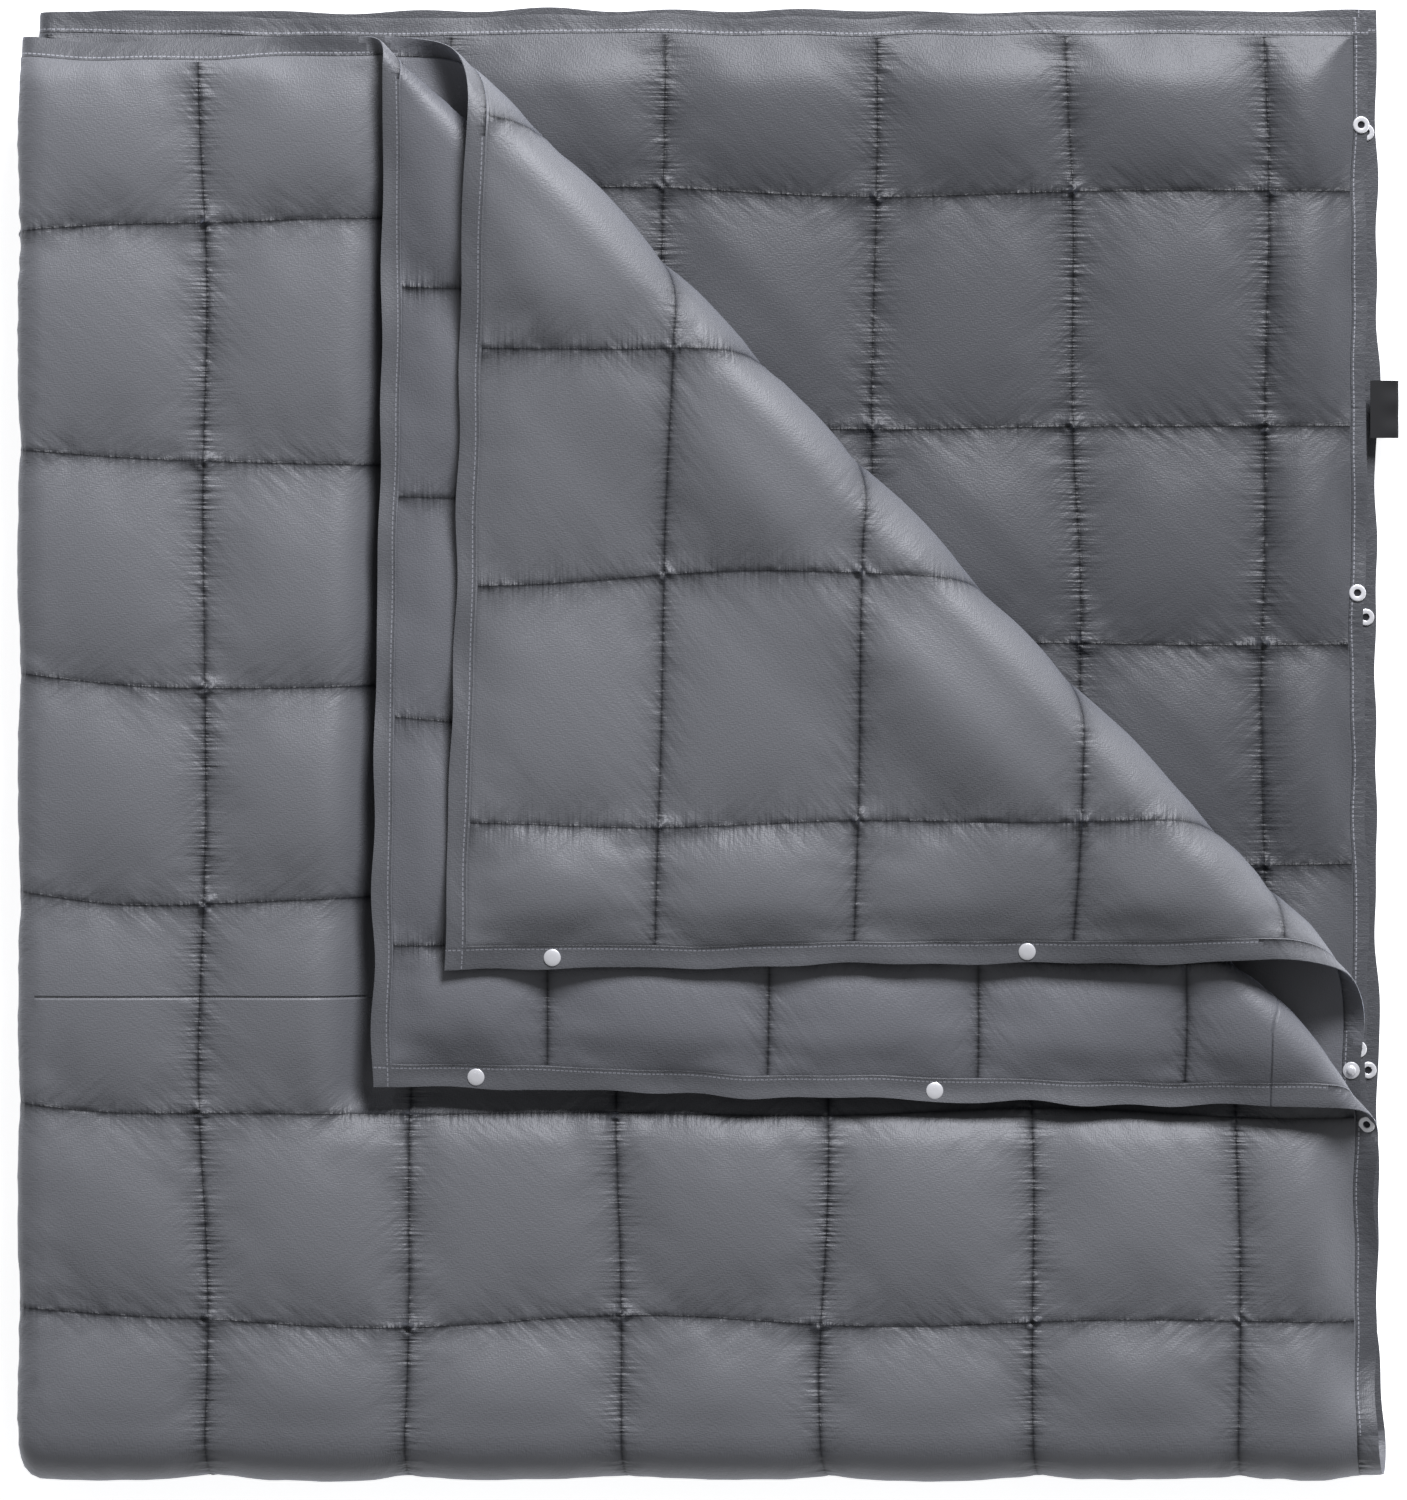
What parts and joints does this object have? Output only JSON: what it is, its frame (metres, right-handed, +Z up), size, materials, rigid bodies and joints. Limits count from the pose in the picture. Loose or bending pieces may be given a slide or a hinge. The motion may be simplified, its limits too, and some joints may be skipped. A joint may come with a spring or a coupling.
{
  "type": "camp quilt",
  "caption": "Square-quilted padded camp quilt folded in four, with the corner of its upper layers turned back to show the snaps along its side hem.",
  "frame": {"origin": "on the floor, under the middle of the folded quilt's box", "axes": "+Z up through the layers, +Y from the foot fold to the open top hem, +X from the folded side to the open side with the snaps"},
  "size_m": [1.0228, 1.089, 0.1194],
  "materials": {
    "face_fabric": "plain woven nylon, soft sheen",
    "lining": "plain woven nylon, soft sheen",
    "batting": "white polyester filling",
    "hem": "turned and topstitched nylon",
    "snap": "polished nickel plate",
    "label": "black woven tape, no mark"
  },
  "bodies": {
    "lower_half": {"bottom_layer_side_hem": "hem", "bottom_layer_snap_cap_1": "snap", "bottom_layer_snap_cap_2": "snap", "bottom_layer_snap_cap_3": "snap", "bottom_layer_snap_ring_1": "snap", "bottom_layer_snap_ring_2": "snap", "bottom_layer_snap_ring_3": "snap", "foot_bend_inner": "face_fabric", "foot_bend_outer": "face_fabric", "lower_batting": "batting", "lower_face_fabric": "face_fabric", "lower_lining": "lining", "lower_top_hem": "hem", "side_label": "label", "third_layer_side_hem": "hem", "third_layer_snap_cap_1": "snap", "third_layer_snap_cap_2": "snap", "third_layer_snap_cap_3": "snap", "third_layer_snap_ring_1": "snap", "third_layer_snap_ring_2": "snap", "third_layer_snap_ring_3": "snap"},
    "upper_half": {"second_corner_bend": "face_fabric", "second_layer_side_hem": "hem", "second_layer_snap_cap_3": "snap", "second_layer_snap_stud_3": "snap", "top_corner_bend": "face_fabric", "top_layer_side_hem": "hem", "top_layer_snap_cap_3": "snap", "top_layer_snap_ring_3": "snap", "upper_batting": "batting", "upper_face_fabric": "face_fabric", "upper_lining": "lining", "upper_top_hem": "hem"},
    "top_corner": {"top_corner_batting": "batting", "top_corner_face_fabric": "face_fabric", "top_corner_hem": "hem", "top_corner_lining": "lining", "top_layer_snap_cap_1": "snap", "top_layer_snap_cap_2": "snap", "top_layer_snap_ring_1": "snap", "top_layer_snap_ring_2": "snap"},
    "second_corner": {"second_corner_batting": "batting", "second_corner_face_fabric": "face_fabric", "second_corner_hem": "hem", "second_corner_lining": "lining", "second_layer_snap_cap_1": "snap", "second_layer_snap_cap_2": "snap", "second_layer_snap_stud_1": "snap", "second_layer_snap_stud_2": "snap"}
  },
  "joints": [
    {"name": "foot_fold", "type": "hinge", "parent": "lower_half", "child": "upper_half", "pos_m": [0, -0.5045, 0.0397], "axis": [1, 0, 0], "range_deg": [0, 180], "deforming": ["foot_bend_inner", "foot_bend_outer"]},
    {"name": "top_corner_fold", "type": "hinge", "parent": "upper_half", "child": "top_corner", "pos_m": [0.1196, 0.1435, 0.0797], "axis": [-0.7009, 0.7132, 0], "range_deg": [0, 180], "deforming": ["top_corner_bend"]},
    {"name": "second_corner_fold", "type": "hinge", "parent": "upper_half", "child": "second_corner", "pos_m": [0.1196, 0.1435, 0.0797], "axis": [-0.7009, 0.7132, 0], "range_deg": [0, 180], "deforming": ["second_corner_bend"]}
  ],
  "couplings": [
    {"joint": "second_corner_fold", "follows": "top_corner_fold", "ratio": 1}
  ]
}
